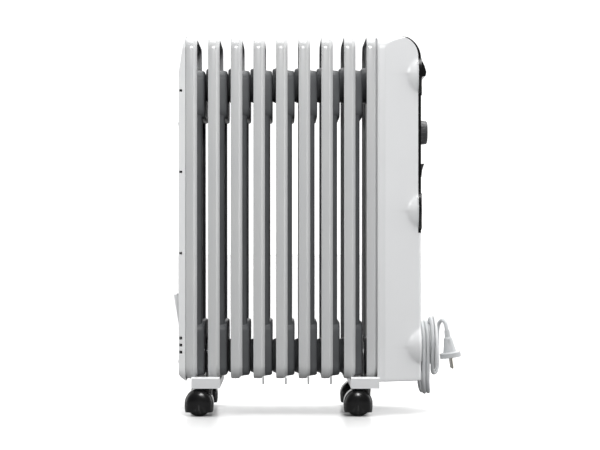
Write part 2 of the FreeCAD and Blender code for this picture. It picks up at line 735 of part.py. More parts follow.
def internal_wires():
    """Insulated leads between the terminal block, element, switches, thermostat and cutout."""
    r = 1.3
    x_block = block_x + 18.0
    x_pin = element_flange_x + 17.2
    wires = []
    for i, (y, dz) in enumerate(((-8, -9.0), (8, -9.0), (-8, 9.0), (8, 9.0))):
        z = header_low + dz
        out = 9.0 + 3.4 * i
        wires.append(tube([(x_pin, y, z), (x_pin + out, y * 1.2, z + 6), (x_pin + out, y * 2 - 2, z + 48),
                           (x_block + 6, -18 + 12 * i, terminal_z - 24),
                           (x_block, -18 + 12 * i, terminal_z - 6.5)], r))
    for i, side in enumerate((-1, 1)):
        y = switch_y(side)
        wires.append(tube([(front_x - 33, y, switch_height - 7), (front_x - 38, y * 1.4, switch_height - 28),
                           (front_x - 36, y * 2.0, switch_height - 90),
                           (x_block + 8, -6 + 12 * i, terminal_z + 60),
                           (x_block, -6 + 12 * i, terminal_z + 12)], r))
    wires.append(tube([(inner_front_x - 28, 14, knob_height - 10),
                       (inner_front_x - 36, 22, knob_height - 40),
                       (inner_front_x - 38, 40, knob_height - 110),
                       (block_x + 18, 38, 330), (block_x + 14.6, 34, 301.0)], r))
    return Part.Compound(wires)


def housing_screws():
    """Screws of the fascia, from inside, and of the winder, from its front."""
    screws = [screw_x(inner_front_x - 0.05, y, z, 6.0, 3.0, -1)
              for y, z in fascia_screw_places]
    screws += [screw_x(front_x + 3.0, y, z, 9.0, 3.5, 1) for y, z in winder_screw_places]
    return Part.Compound(screws)


def cover_screws():
    return Part.Compound([screw_x(cover_x, y, z, 10.0, 4.0, -1) for y, z in cover_screw_places])


def bracket(seam):
    """Moulded cross bar, hollow below, with raised ends and two castor sockets."""
    x = bracket_x(seam)
    a, b = x - bracket_length / 2, x + bracket_length / 2
    mid_top = fin_bottom - bracket_drop
    end_top = mid_top + bracket_end_up
    inner = fin_half + 1.5
    half = bracket_half_depth
    outline = [(-half, bracket_low), (half, bracket_low), (half, end_top - 2), (half - 2, end_top),
               (inner + 3, end_top), (inner, mid_top), (-inner, mid_top), (-inner - 3, end_top),
               (-half + 2, end_top), (-half, end_top - 2)]
    face = Part.Face(Part.makePolygon([vec(a, y, z) for y, z in outline + outline[:1]]))
    body = face.extrude(vec(bracket_length, 0, 0))
    w = bracket_wall
    body = body.cut(block(a + w, b - w, -half + w, half - w, bracket_low - 1, mid_top - w))
    for side in (-1, 1):
        body = body.fuse(rod_z(9.5, bracket_low, mid_top - w / 2, x, side * castor_offset))
        body = body.cut(rod_z(stem_r, bracket_low - 1, mid_top - 2.0, x,
                              side * castor_offset))
        body = body.cut(rod_z(2.5 + seat, bracket_low, mid_top + 1, x, side * ubolt_r))
    under_housing = block(housing_x - gap, front_x, -inner, inner, housing_low - gap, mid_top + 1)
    return body.cut(under_housing).removeSplitter()


ubolt_rod_r = 2.5
ubolt_r = boss_tip_r + 2.8 + ubolt_rod_r
ubolt_low = bracket_low + 1.0


def u_bolts():
    """One round-bar U over each header seam, its legs through the bracket."""
    bolts = []
    for seam in bracket_seams:
        x = bracket_x(seam)
        legs = [rod_z(ubolt_rod_r, ubolt_low, header_low, x, s * ubolt_r) for s in (-1, 1)]
        bow = Part.makeTorus(ubolt_r, ubolt_rod_r, vec(x, 0, header_low), vec(1, 0, 0))
        bow = bow.common(block(x - 5, x + 5, -60, 60, header_low, header_low + 60))
        bolts.append(joined(legs + [bow]))
    return Part.Compound(bolts)


def wing_nuts():
    """Wing nuts on the U-bolts' legs, under the bracket's top wall."""
    nuts = []
    top = fin_bottom - bracket_drop - bracket_wall - seat
    for seam in bracket_seams:
        x = bracket_x(seam)
        for side in (-1, 1):
            y = side * ubolt_r
            hub = turned([(0, 0), (0, 5.5), (5, 4.2), (5, 0)], vec(x, y, top), vec(0, 0, -1), 0)
            wings = [block(x + s * 8 - 6, x + s * 8 + 6, y - 0.9, y + 0.9, top - 6.5, top - 1.5)
                     for s in (-1, 1)]
            nut = joined([hub] + wings)
            nuts.append(nut.cut(rod_z(ubolt_rod_r, top - 8, top + 1, x, y)))
    return Part.Compound(nuts)


def castor_places():
    for seam, end in zip(bracket_seams, ("rear", "front")):
        for side, hand in ((-1, "near"), (1, "far")):
            yield f"{end}_{hand}", bracket_x(seam), side * castor_offset


def domed_drum(wx, y, half, edge, r):
    """Drum along Y, round the wheels' axis, with domed ends."""
    end = [(edge + (half - edge) * math.sin(a), r * math.cos(a))
           for a in (math.pi / 2 * i / 8 for i in range(9))]
    corners = [(-along, radius) for along, radius in reversed(end)] + end
    return turned(corners, vec(wx, y, wheel_r), vec(0, 1, 0), 0)


def castor_hood(x, y):
    """Domed hood over the two wheels, its middle wall and the collar that holds the stem."""
    wx = x - castor_trail
    half = castor_web + gap + wheel_width + wheel_room + hood_wall
    room = domed_drum(wx, y, half - hood_wall, hood_edge, hood_r - hood_wall)
    shell = domed_drum(wx, y, half, hood_edge, hood_r)
    shell = shell.fuse(rod_z(collar_r, wheel_r, bracket_low - 0.5, x, y)).cut(room)
    web = room.common(block(wx - 40, wx + 40, y - castor_web, y + castor_web, 5.0, 80))
    body = joined([shell.cut(block(wx - 40, wx + 40, y - 40, y + 40, -10, hood_low)), web])
    body = body.cut(rod_y(axle_r, y - 10, y + 10, wx, wheel_r))
    return body.cut(rod_z(stem_r + running, wheel_r + 4 - gap, bracket_low + 5, x, y))


def castor_stem(x, y):
    low = wheel_r + 4
    top = fin_bottom - bracket_drop - 2.5
    return turned([(0, 0), (0, stem_r), (top - low - 1, stem_r), (top - low, stem_r - 1), (top - low, 0)],
                  vec(x, y, low), vec(0, 0, 1), 0)


def castor_axle(x, y):
    half = castor_web + wheel_width - 2
    return rod_y(axle_r, y - half, y + half, x - castor_trail, wheel_r)


def castor_wheel(x, y, side):
    """Wheel with a flat tread and a domed outer face."""
    start = y + side * (castor_web + gap)
    dome_edge = wheel_width * 0.45
    corners = [(0, 0), (0, wheel_r - 1), (1, wheel_r), (dome_edge, wheel_r)]
    for i in range(1, 7):
        a = math.pi / 2 * i / 6
        corners.append((dome_edge + (wheel_width - dome_edge) * math.sin(a),
                        wheel_r * math.cos(a)))
    body = turned(corners, vec(x - castor_trail, start, wheel_r), vec(0, side, 0), 0)
    hole = castor_web + wheel_width - 2 + gap
    return body.cut(rod_y(axle_r + running, y - hole, y + hole, x - castor_trail, wheel_r))


def save(name, shape):
    solids = shape.Solids
    ok = shape.isValid() and solids and all(s.Volume > 0 for s in solids)
    print(f"{name}: {len(solids)} solid(s), valid {shape.isValid()}")
    if not ok:
        raise ValueError(name)
    kept = solids[0] if len(solids) == 1 else Part.Compound(solids)
    kept.exportStep(f"parts/{name}.step")


def main():
    os.makedirs("parts", exist_ok=True)
    for i in range(fin_count):
        save(f"fin_{i + 1}", fin(i))
    save("rear_cover", rear_cover())
    save("cover_screws", cover_screws())
    save("oil_fill_plug", oil_fill_plug())
    save("heating_element", heating_element())
    save("element_flange", element_flange())
    save("element_gasket", element_gasket())
    save("heat_shield", heat_shield())
    save("control_housing", control_housing())
    save("front_fascia", front_fascia())
    save("front_handle", front_handle())
    save("pilot_lamp", pilot_lamp())
    save("thermostat_body", thermostat_body())
    save("thermostat_shaft", thermostat_shaft())
    save("thermostat_knob", thermostat_knob())
    save("switch_bodies", Part.Compound([switch_body(-1), switch_body(1)]))
    save("rocker_near", rocker(-1))
    save("rocker_far", rocker(1))
    save("terminal_block", terminal_block())
    save("thermal_cutout", thermal_cutout())
    save("internal_wires", internal_wires())
    save("housing_screws", housing_screws())
    save("cord_winder", cord_winder())
    save("strain_relief", strain_relief())
    save("cord_lead", tube(lead_route, cord_d / 2, "cord_lead"))
    save("cord_loops", cord_loops())
    save("cord_turns", cord_turns())
    save("cord_tail", tube(tail_route, cord_d / 2, "cord_tail"))
    save("plug_body", plug_body())
    save("plug_pins", plug_pins())
    save("plug_earth_clips", Part.Compound([clip_form(-1, 0, 9.0), clip_form(1, 0, 9.0)]))
    save("castor_bracket_rear", bracket(bracket_seams[0]))
    save("castor_bracket_front", bracket(bracket_seams[1]))
    save("u_bolts", u_bolts())
    save("wing_nuts", wing_nuts())
    save("castor_stems", Part.Compound([castor_stem(x, y) for _, x, y in castor_places()]))
    for place, x, y in castor_places():
        save(f"castor_hood_{place}", castor_hood(x, y))
        save(f"castor_axle_{place}", castor_axle(x, y))
        save(f"castor_wheel_{place}_a", castor_wheel(x, y, -1))
        save(f"castor_wheel_{place}_b", castor_wheel(x, y, 1))


main()
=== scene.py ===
import json
import math
import bmesh
import bpy
import numpy as np
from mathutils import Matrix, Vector


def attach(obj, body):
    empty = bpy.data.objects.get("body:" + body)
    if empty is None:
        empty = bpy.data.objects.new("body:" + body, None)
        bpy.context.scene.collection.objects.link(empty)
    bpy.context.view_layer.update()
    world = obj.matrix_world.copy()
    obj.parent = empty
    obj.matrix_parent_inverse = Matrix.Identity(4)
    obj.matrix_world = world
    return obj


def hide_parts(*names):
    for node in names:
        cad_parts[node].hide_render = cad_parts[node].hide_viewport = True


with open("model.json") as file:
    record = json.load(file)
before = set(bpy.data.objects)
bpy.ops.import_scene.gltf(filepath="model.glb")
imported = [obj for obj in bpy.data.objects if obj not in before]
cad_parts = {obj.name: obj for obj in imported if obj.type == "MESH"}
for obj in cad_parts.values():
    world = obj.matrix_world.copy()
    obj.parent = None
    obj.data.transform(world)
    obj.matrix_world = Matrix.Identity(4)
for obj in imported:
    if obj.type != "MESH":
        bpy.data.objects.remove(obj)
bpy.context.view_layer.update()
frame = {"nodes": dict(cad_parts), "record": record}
nodes = frame["nodes"]
record = frame["record"]
print("frame loaded:", len(nodes), "nodes")

mm = 0.001


cameraSettings = {
    "place": (-0.0362, -2.530, 0.291),      # level, square to the fins' edges
    "lens": 86.25,
    "sensor": 36.0,
    "shift": (0.025, 0.0333),
    "farthest": 50.0,
}


def makeCamera(settings):
    data = bpy.data.cameras.new("camera")
    data.lens = settings["lens"]
    data.sensor_width = settings["sensor"]
    data.shift_x, data.shift_y = settings["shift"]
    data.clip_end = settings["farthest"]
    camera = bpy.data.objects.new("camera", data)
    camera.location = settings["place"]
    camera.rotation_euler = (math.pi / 2, 0.0, 0.0)
    bpy.context.scene.collection.objects.link(camera)
    bpy.context.scene.camera = camera


makeCamera(cameraSettings)


def linear(hexColour):
    # sRGB hex to the linear values that shaders take
    c = np.array([int(hexColour[i:i + 2], 16) for i in (1, 3, 5)]) / 255.0
    c = np.where(c <= 0.04045, c / 12.92, ((c + 0.055) / 1.055) ** 2.4)
    return (*c.tolist(), 1.0)


def addNode(tree, kind, settings=None, inputs=None):
    # settings are the node's own properties; inputs are values or (node, output) links
    node = tree.nodes.new(kind)
    for key, value in (settings or {}).items():
        setattr(node, key, value)
    for key, value in (inputs or {}).items():
        if isinstance(value, tuple) and len(value) == 2 and hasattr(value[0], "outputs"):
            tree.links.new(value[0].outputs[value[1]], node.inputs[key])
        else:
            node.inputs[key].default_value = value
    return node


def newMaterial(name):
    material = bpy.data.materials.new(name)
    material.use_nodes = True
    material.node_tree.nodes.clear()
    return material, material.node_tree


def finishMaterial(tree, inputs):
    shader = addNode(tree, "ShaderNodeBsdfPrincipled", inputs=inputs)
    addNode(tree, "ShaderNodeOutputMaterial", inputs={"Surface": (shader, "BSDF")})


def noiseOf(tree, sizeMm, detail=2.0, roughness=0.5, stretch=(1, 1, 1)):
    # noise whose grains are about sizeMm across on the object
    place = addNode(tree, "ShaderNodeTexCoord")
    mapping = addNode(tree, "ShaderNodeMapping", inputs={
        "Vector": (place, "Object"), "Scale": tuple(s / (sizeMm * mm) for s in stretch)})
    return addNode(tree, "ShaderNodeTexNoise", inputs={
        "Vector": (mapping, "Vector"), "Scale": 1.0, "Detail": detail, "Roughness": roughness})


def ramp(tree, source, low, high, fromColour, toColour):
    # colour that goes from one to the other as source goes from low to high
    node = addNode(tree, "ShaderNodeValToRGB", inputs={"Fac": source})
    node.color_ramp.elements[0].position = low
    node.color_ramp.elements[1].position = high
    node.color_ramp.elements[0].color = fromColour
    node.color_ramp.elements[1].color = toColour
    return node


def spread(tree, source, low, high):
    # a number from low to high as source goes from 0.3 to 0.7
    return addNode(tree, "ShaderNodeMapRange", inputs={
        "Value": source, "From Min": 0.3, "From Max": 0.7, "To Min": low, "To Max": high})


def coated(name, colours, roughness, grainMm, bumpMm, ior=1.5, cloudMm=60.0, coat=0.0):
    # a smooth skin over a body: slow cloudy colour, uneven gloss and a fine surface grain
    material, tree = newMaterial(name)
    cloud = noiseOf(tree, cloudMm, 3.0)
    colour = ramp(tree, (cloud, "Fac"), 0.35, 0.65, linear(colours[0]), linear(colours[1]))
    gloss = spread(tree, (noiseOf(tree, cloudMm * 0.25, 4.0), "Fac"), roughness[0], roughness[1])
    grain = noiseOf(tree, grainMm, 2.0)
    bump = addNode(tree, "ShaderNodeBump", inputs={
        "Height": (grain, "Fac"), "Distance": bumpMm * mm, "Strength": 1.0})
    finishMaterial(tree, {
        "Base Color": (colour, "Color"), "Roughness": (gloss, "Result"),
        "Normal": (bump, "Normal"), "IOR": ior, "Coat Weight": coat, "Coat Roughness": 0.08})
    return material


def metal(name, colours, roughness, grainMm, stretch, bumpMm):
    # bare metal: drawn or rolled lines along one way
    material, tree = newMaterial(name)
    lines = noiseOf(tree, grainMm, 3.0, 0.6, stretch)
    colour = ramp(tree, (lines, "Fac"), 0.3, 0.7, linear(colours[0]), linear(colours[1]))
    gloss = spread(tree, (lines, "Fac"), roughness[0], roughness[1])
    bump = addNode(tree, "ShaderNodeBump", inputs={
        "Height": (lines, "Fac"), "Distance": bumpMm * mm, "Strength": 1.0})
    finishMaterial(tree, {
        "Base Color": (colour, "Color"), "Metallic": 1.0, "Roughness": (gloss, "Result"),
        "Normal": (bump, "Normal")})
    return material


# white powder enamel baked on sheet steel: glossy, with a faint orange peel of 3 mm waves; its
# white is greyed to stand for the shade on the fins' bands: painted shade
finEnamelPaintedShade = coated("bakedEnamelPaintedShade", ("#CDCECF", "#D0D1D1"), (0.2, 0.23), 3.0, 0.012, 1.52,
                90.0, coat=0.3)
# the rear cover's enamel: the fins' white made lighter to stand for the light falling on the cover
# from the side: painted light
coverEnamelPaintedLight = coated("bakedEnamelPaintedLight", ("#E8E9EA", "#EBECEC"), (0.2, 0.23), 3.0, 0.012, 1.52,
                     90.0, coat=0.3)
# the same sheet between the bands, greyed to stand for the shade that falls between the fins:
# painted shade, with a duller, drier skin
finInnerPaintedShade = coated("paintedShadeBetweenFins", ("#5C5E60", "#646668"), (0.34, 0.46), 1.6, 0.02, 1.5, 70.0)
# white moulded ABS: a little softer and bluer than the enamel, with a satin spark texture
whiteAbs = coated("mouldedWhiteAbs", ("#E9EAEB", "#EBECED"), (0.3, 0.33), 1.2, 0.008, 1.53, 120.0)
# black polished ABS: deep gloss with slow waves from the mould
blackAbs = coated("polishedBlackAbs", ("#0B0B0C", "#101012"), (0.08, 0.16), 6.0, 0.01, 1.53, 80.0)
# black glass-filled nylon of the castors: glossy, faint flow marks
blackNylon = coated("mouldedBlackNylon", ("#0A0A0B", "#131314"), (0.2, 0.26), 2.0, 0.012, 1.52,
                    25.0)
# black spark-textured ABS of the switches
darkAbs = coated("texturedDarkAbs", ("#151516", "#1C1C1D"), (0.38, 0.5), 0.6, 0.02, 1.53, 20.0)
# grey satin ABS of the knob
knobAbs = coated("satinGreyAbs", ("#3A3A3C", "#434345"), (0.28, 0.36), 0.8, 0.01, 1.53, 20.0)
# pale grey PVC of the cord and its plug: soft sheen, wiped clean
cordPvc = coated("extrudedGreyPvc", ("#C6C8CA", "#D2D4D5"), (0.34, 0.46), 1.5, 0.02, 1.53, 30.0)
plugPvc = coated("mouldedGreyPvc", ("#C4C6C8", "#CFD1D2"), (0.34, 0.44), 0.8, 0.015, 1.53, 20.0)
creamPlastic = coated("mouldedCreamPbt", ("#D9D5C8", "#E0DCD0"), (0.4, 0.5), 1.0, 0.01, 1.53, 20.0)
redPvc = coated("insulatedRedPvc", ("#8E2A1C", "#9A3324"), (0.4, 0.5), 1.0, 0.01, 1.53, 20.0)
fibre = coated("pressedGreyFibre", ("#3C3F3A", "#4A4D47"), (0.8, 0.9), 0.8, 0.05, 1.5, 10.0)
lampLens = coated("mouldedAmberLens", ("#B3401C", "#C04A22"), (0.08, 0.12), 2.0, 0.005, 1.49, 10.0)
zinc = metal("zincPlatedSteel", ("#A9ABAD", "#C3C4C4"), (0.25, 0.4), 1.5, (1, 1, 1), 0.01)
rolledSteel = metal("rolledSteel", ("#8A8B8C", "#9D9D9C"), (0.3, 0.45), 2.0, (1, 6, 0.3), 0.01)
drawnSteel = metal("drawnElementSteel", ("#5A5652", "#77726C"), (0.35, 0.5), 2.0, (0.1, 2, 2), 0.01)
brass = metal("turnedBrass", ("#B08A45", "#C6A15C"), (0.22, 0.35), 1.0, (4, 1, 1), 0.008)
nickel = metal("nickelPlatedBrass", ("#B9B6AE", "#CFCCC5"), (0.14, 0.24), 1.0, (1, 1, 0.2), 0.005)

finishOf = {
    "fin_paint": finEnamelPaintedShade, "housing_plastic": whiteAbs, "cover_paint": coverEnamelPaintedLight,
    "fascia_plastic": blackAbs, "dark_plastic": darkAbs, "castor_plastic": blackNylon,
    "knob_plastic": knobAbs, "lamp_lens": lampLens, "zinc_steel": zinc, "bare_steel": rolledSteel,
    "element_steel": drawnSteel, "brass_part": brass, "nickel_pin": nickel,
    "gasket_fibre": fibre, "cord_pvc": cordPvc, "plug_pvc": plugPvc, "wire_pvc": redPvc,
    "terminal_plastic": creamPlastic,
}


def dressNodes():
    # every node of the frame takes the finish of its slot in the record
    for entry in record["subparts"]:
        data = nodes[entry["node"]].data
        data.materials.clear()
        data.materials.append(finishOf[entry["material_slot"]])


dressNodes()
print("materials made")


cordSettings = {
    "diameter": 6.5 * mm,
    "hubHeight": 119.5 * mm,
    "hubRadius": 37.3 * mm,                   # control circle; the line runs a fortieth inside it
    "outerRadius": 44.0 * mm,
    "lowHeight": 59.4 * mm,
    "lowRadius": 27.7 * mm,
    "bulge": ((29.7 * mm, 68.0 * mm), (33.3 * mm, 88.0 * mm), (35.8 * mm, 108.0 * mm)),
    "step": 26.0,                             # degrees between neighbours, 14 to a turn
    # each loose loop as (x on the far side, x on the near side, x where it passes on, wider by)
    "loops": ((201.6, 205.4, 209.4, 0.0), (208.0, 212.4, 216.0, -0.6)),
    "order": 3,
    "resolution": 8,
    "roundness": 5,
}
leadRoute = [(0.2020, -0.0140, 0.0575), (0.2054, -0.0136, 0.0475), (0.2064, -0.0075, 0.0388),
             (0.2062, 0.0020, 0.0335)]
tailRoute = [(0.2202, -0.0300, 0.0860), (0.2210, -0.0180, 0.0715), (0.2246, -0.0070, 0.0654),
             (0.2310, 0.0015, 0.0690), (0.2330, 0.0070, 0.0840), (0.2322, 0.0095, 0.1070),
             (0.2325, 0.0080, 0.1310), (0.2332, 0.0064, 0.1445), (0.2352, 0.0016, 0.1546),
             (0.2388, -0.0062, 0.1594), (0.2426, -0.0148, 0.1576), (0.2453, -0.0204, 0.1500),
             (0.2461, -0.0216, 0.1425)]


def circlePoints(angles, radius, height, across):
    # y = radius cos a, z = height + radius sin a, with x given for each angle
    a = np.radians(angles)
    return np.column_stack([across, radius * np.cos(a), height + radius * np.sin(a)])


def sidePoints(across, side):
    # the slack between the low end of a loop and the hub, on the far (1) or near (-1) side
    y, z = np.array(cordSettings["bulge"]).T
    points = np.column_stack([across, side * y, z])
    return points if side > 0 else points[::-1]


def loopPoints(farX, nearX, nextX, grow):
    # one loose loop: up the far side, over the hub, down the near side and under
    c = cordSettings
    low = c["lowRadius"] + grow
    return np.vstack([
        circlePoints([-64, -38, -12], low, c["lowHeight"], [farX + 2 * mm, farX + 1 * mm, farX]),
        sidePoints([farX] * 3, 1),
        circlePoints(np.arange(12, 169, c["step"]), c["hubRadius"], c["hubHeight"],
                     np.linspace(farX, nearX, 7)),
        sidePoints([nearX] * 3, -1),
        circlePoints([192, 218, 244, 270], low, c["lowHeight"],
                     np.linspace(nearX, nextX, 4))])


def cordPoints():
    c = cordSettings
    loose = [loopPoints(*(value * mm for value in loop)) for loop in c["loops"]]
    third = np.vstack([
        circlePoints([-64, -38, -12], c["lowRadius"] - 1.0 * mm, c["lowHeight"] + 1.0 * mm,
                     [215.4 * mm, 214.6 * mm, 214.3 * mm]),
        sidePoints([214.2 * mm, 214.2 * mm, 214.6 * mm], 1)])
    turnAngles = np.arange(12, 272, c["step"])
    onHub = circlePoints(turnAngles, c["hubRadius"], c["hubHeight"],
                         np.minimum(215.6 + 2.1 * np.arange(len(turnAngles)), 220.4) * mm)
    outward = circlePoints([298, 324, 350], np.array([39.6, 43.0, 44.0]) * mm, c["hubHeight"],
                           [220.5 * mm] * 3)
    outer = circlePoints(np.arange(376, 565, c["step"]), c["outerRadius"], c["hubHeight"],
                         [220.2 * mm] * 8)
    return np.vstack([leadRoute, *loose, third, onHub, outward, outer, tailRoute])


def makeCord(points):
    c = cordSettings
    curve = bpy.data.curves.new("mainsCord", "CURVE")
    curve.dimensions = "3D"
    spline = curve.splines.new("NURBS")
    spline.points.add(len(points) - 1)
    spline.points.foreach_set("co", np.column_stack([points, np.ones(len(points))]).ravel())
    spline.order_u = c["order"]
    spline.use_endpoint_u = True
    spline.resolution_u = c["resolution"]
    curve.bevel_depth = c["diameter"] / 2
    curve.bevel_resolution = c["roundness"]
    curve.use_fill_caps = True
    curve.materials.append(cordPvc)
    cord = bpy.data.objects.new("mainsCord", curve)
    bpy.context.scene.collection.objects.link(cord)
    return cord


mainsCord = makeCord(cordPoints())
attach(mainsCord, "body")
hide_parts("cord_lead", "cord_loops", "cord_turns", "cord_tail")
print("cord laid")


def loops(box, radius, insets, perCorner=8):
    # rounded rectangles (y, z), one for each inset: quarter circles round four corner centres
    y0, y1, z0, z1 = box
    inset = np.asarray(insets, float)[:, None]
    reach = np.maximum(radius, inset + 0.2 * mm)
    quarter = np.radians(np.linspace(0, 90, perCorner + 1))
    angle = np.concatenate([quarter + turn for turn in np.radians([-90, 0, 90, 180])])
    right = np.repeat([True, True, False, False], perCorner + 1)
    top = np.repeat([False, True, True, False], perCorner + 1)
    y = np.where(right, y1 - reach, y0 + reach) + (reach - inset) * np.cos(angle)
    z = np.where(top, z1 - reach, z0 + reach) + (reach - inset) * np.sin(angle)
    return np.stack([y, z], axis=-1)


def alongX(places, flat):
    # stands each flat (y, z) loop at its own x
    x = np.broadcast_to(np.asarray(places, float)[:, None, None], flat.shape[:2] + (1,))
    return np.concatenate([x, flat], axis=-1)


def turned(profile, centre, way=(1, 0, 0), count=48):
    # (along, r) corners carried round an axis: centre + along w + r (cos a u + sin a v)
    along, r = np.array(profile, float).T * mm
    w = np.array(way, float) / np.linalg.norm(way)
    u = np.cross(w, (0, 1, 0) if abs(w[1]) < 0.9 else (1, 0, 0))
    u /= np.linalg.norm(u)
    v = np.cross(w, u)
    a = np.linspace(0, 2 * np.pi, count, endpoint=False)
    ring = np.cos(a)[:, None] * u + np.sin(a)[:, None] * v
    return np.array(centre) + along[:, None, None] * w + r[:, None, None] * ring


def skin(rings, finish=0, ends=True, wrap=False):
    # quads between neighbouring closed rings, with a flat face on each end or the ends joined
    k, n = rings.shape[:2]
    i, j = np.meshgrid(np.arange(k if wrap else k - 1), np.arange(n), indexing="ij")
    over, beside = (i + 1) % k, (j + 1) % n
    faces = np.stack([i * n + j, i * n + beside, over * n + beside, over * n + j], -1)
    faces = faces.reshape(-1, 4).tolist()
    if ends and not wrap:
        faces += [list(range(n))[::-1], list(range((k - 1) * n, k * n))]
    return rings.reshape(-1, 3), faces, finish


def openSkin(points, keep=None, finish=0):
    # quads between neighbouring rows and columns of a grid; keep marks the cells that stay
    k, n = points.shape[:2]
    i, j = np.meshgrid(np.arange(k - 1), np.arange(n - 1), indexing="ij")
    faces = np.stack([i * n + j, i * n + j + 1, (i + 1) * n + j + 1, (i + 1) * n + j], -1)
    faces = faces[keep] if keep is not None else faces.reshape(-1, 4)
    return points.reshape(-1, 3), faces.tolist(), finish


def makePiece(name, skins, finishes, body, stands=(), sharp=38.0, wall=0.0):
    # one mesh of all the skins: doubles merged, faces outward, smooth but for sharp edges,
    # and where wall is given, an open skin that gets that thickness on its inner side
    points, faces, marks, base = [], [], [], 0
    for verts, quads, finish in skins:
        points.append(verts)
        faces += [[base + v for v in face] for face in quads]
        marks += [finish] * len(quads)
        base += len(verts)
    mesh = bpy.data.meshes.new(name)
    mesh.from_pydata(np.concatenate(points).tolist(), [], faces)
    mesh.polygons.foreach_set("material_index", marks)
    work = bmesh.new()
    work.from_mesh(mesh)
    bmesh.ops.remove_doubles(work, verts=work.verts, dist=1e-6)
    bmesh.ops.recalc_face_normals(work, faces=work.faces)
    loose = [v for v in work.verts if not v.link_faces]
    bmesh.ops.delete(work, geom=loose, context="VERTS")
    if wall:
        middle = sum((v.co for v in work.verts), Vector()) / len(work.verts)
        outward = sum((f.calc_center_median() - middle).dot(f.normal) * f.calc_area()
                      for f in work.faces)
        if outward < 0:
            bmesh.ops.reverse_faces(work, faces=work.faces)
    work.to_mesh(mesh)
    work.free()
    mesh.polygons.foreach_set("use_smooth", [True] * len(mesh.polygons))
    mesh.set_sharp_from_angle(angle=math.radians(sharp))
    for finish in finishes:
        mesh.materials.append(finish)
    piece = bpy.data.objects.new(name, mesh)
    bpy.context.scene.collection.objects.link(piece)
    if wall:
        solid = piece.modifiers.new("wall", "SOLIDIFY")
        solid.thickness, solid.offset, solid.use_even_offset = wall, -1.0, False
    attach(piece, body)
    if stands:
        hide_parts(*stands)
    return piece


finSettings = {
    "count": 9,
    "first": -206.14 * mm,
    "pitch": 38.66 * mm,
    "box": (-80 * mm, 80 * mm, 61.5 * mm, 649.8 * mm),
    "corner": 24 * mm,
    "headers": (96.5 * mm, 571.3 * mm),
    # the sheet between the bands as (x, depth under the edge)
    "web": ((6.0, 0.9), (6.0, 0.45), (7.6, 0.45), (7.6, 0.9)),
    "channel": (36 * mm, 68 * mm),
    "channelRound": 7.5 * mm,
    "pads": ((33 * mm, 66.5 * mm), (66 * mm, 23 * mm)),    # below and above each header
    "padHalf": 70 * mm,
    "padRound": 20 * mm,
    # welded tab under the fin as (x, inset), with its y and z past the fin's lower edge
    "tab": ((15, 0.6), (15.3, 0), (18.2, 0), (18.5, 0.6)),
    "tabBox": (-72 * mm, -63 * mm, -8.6 * mm, 5 * mm),
    "tabRound": 2 * mm,
    # band and slanted lip as (x, depth under the edge), round the sheet's thickness
    "rim": ((0, 2.4), (0.3, 1.1), (1.1, 0.3), (2.4, 0), (12.9, 0), (13.6, 0.25), (14.1, 0.7),
            (19.2, 5.6), (19.6, 5.95), (19.8, 6.5), (19.4, 6.9), (18.9, 6.7), (13.4, 1.3),
            (12.9, 0.9), (2.6, 0.9), (1.6, 1.2), (1.0, 1.9), (0.9, 2.5), (0.45, 2.8)),
    # rise of a pressed form as (x, inset): flared foot, sloped side, rolled shoulder
    "channelRise": ((7.0, -3.2), (7.8, -2.2), (8.6, -0.4), (9.8, 0.5), (17, 2.6), (23, 4.4),
                    (25.6, 5.4), (26.9, 6.6), (27.5, 8.6), (27.5, 11)),
    "padRise": ((7.0, -3.4), (7.8, -2.4), (8.8, -0.6), (10.2, 0.3), (20, 1.9), (28.6, 3.1),
                (30.6, 3.9), (31.7, 5.2), (32, 7)),
    "bossTurn": ((7.4, 37), (6.1, 34.2), (4.2, 32.4), (1, 31.2), (-4.4, 29.3), (-5.9, 28.4),
                 (-6.6, 27)),
    "tabless": (0, 1, 2, 7, 8),
}


def finSkins(index):
    c = finSettings
    x0 = c["first"] + index * c["pitch"]
    edge = c["box"][2]
    low, high = c["headers"]
    rim = np.array(c["rim"]) * mm
    parts = [skin(alongX(x0 + rim[:, 0], loops(c["box"], c["corner"], rim[:, 1], 10)), wrap=True)]
    web = np.array(c["web"]) * mm
    parts.append(skin(alongX(x0 + web[:, 0], loops(c["box"], c["corner"], web[:, 1], 10)), 1))
    rise = np.array(c["channelRise"]) * mm
    for side in (-1, 1):
        box = (*sorted(side * reach for reach in c["channel"]), low, high)
        channel = loops(box, c["channelRound"], rise[:, 1])
        parts.append(skin(alongX(x0 + rise[:, 0], channel), 1))
    rise = np.array(c["padRise"]) * mm
    for middle, (down, up) in zip(c["headers"], c["pads"]):
        box = (-c["padHalf"], c["padHalf"], middle - down, middle + up)
        parts.append(skin(alongX(x0 + rise[:, 0], loops(box, c["padRound"], rise[:, 1])), 1))
        parts.append(skin(turned(c["bossTurn"], (x0, 0, middle)), 1))
    if index not in c["tabless"]:
        tab = np.array(c["tab"]) * mm
        y0, y1, down, up = c["tabBox"]
        box = (y0, y1, edge + down, edge + up)
        parts.append(skin(alongX(x0 + tab[:, 0], loops(box, c["tabRound"], tab[:, 1], 4))))
    return parts


def makeFins():
    for index in range(finSettings["count"]):
        # the second finish, on the web, channels, pads and bosses, is the painted shade between the
        # fins
        makePiece(f"finPressing{index + 1}", finSkins(index), (finEnamelPaintedShade, finInnerPaintedShade), "body",
                  (f"fin_{index + 1}",))


makeFins()
print("fins pressed")


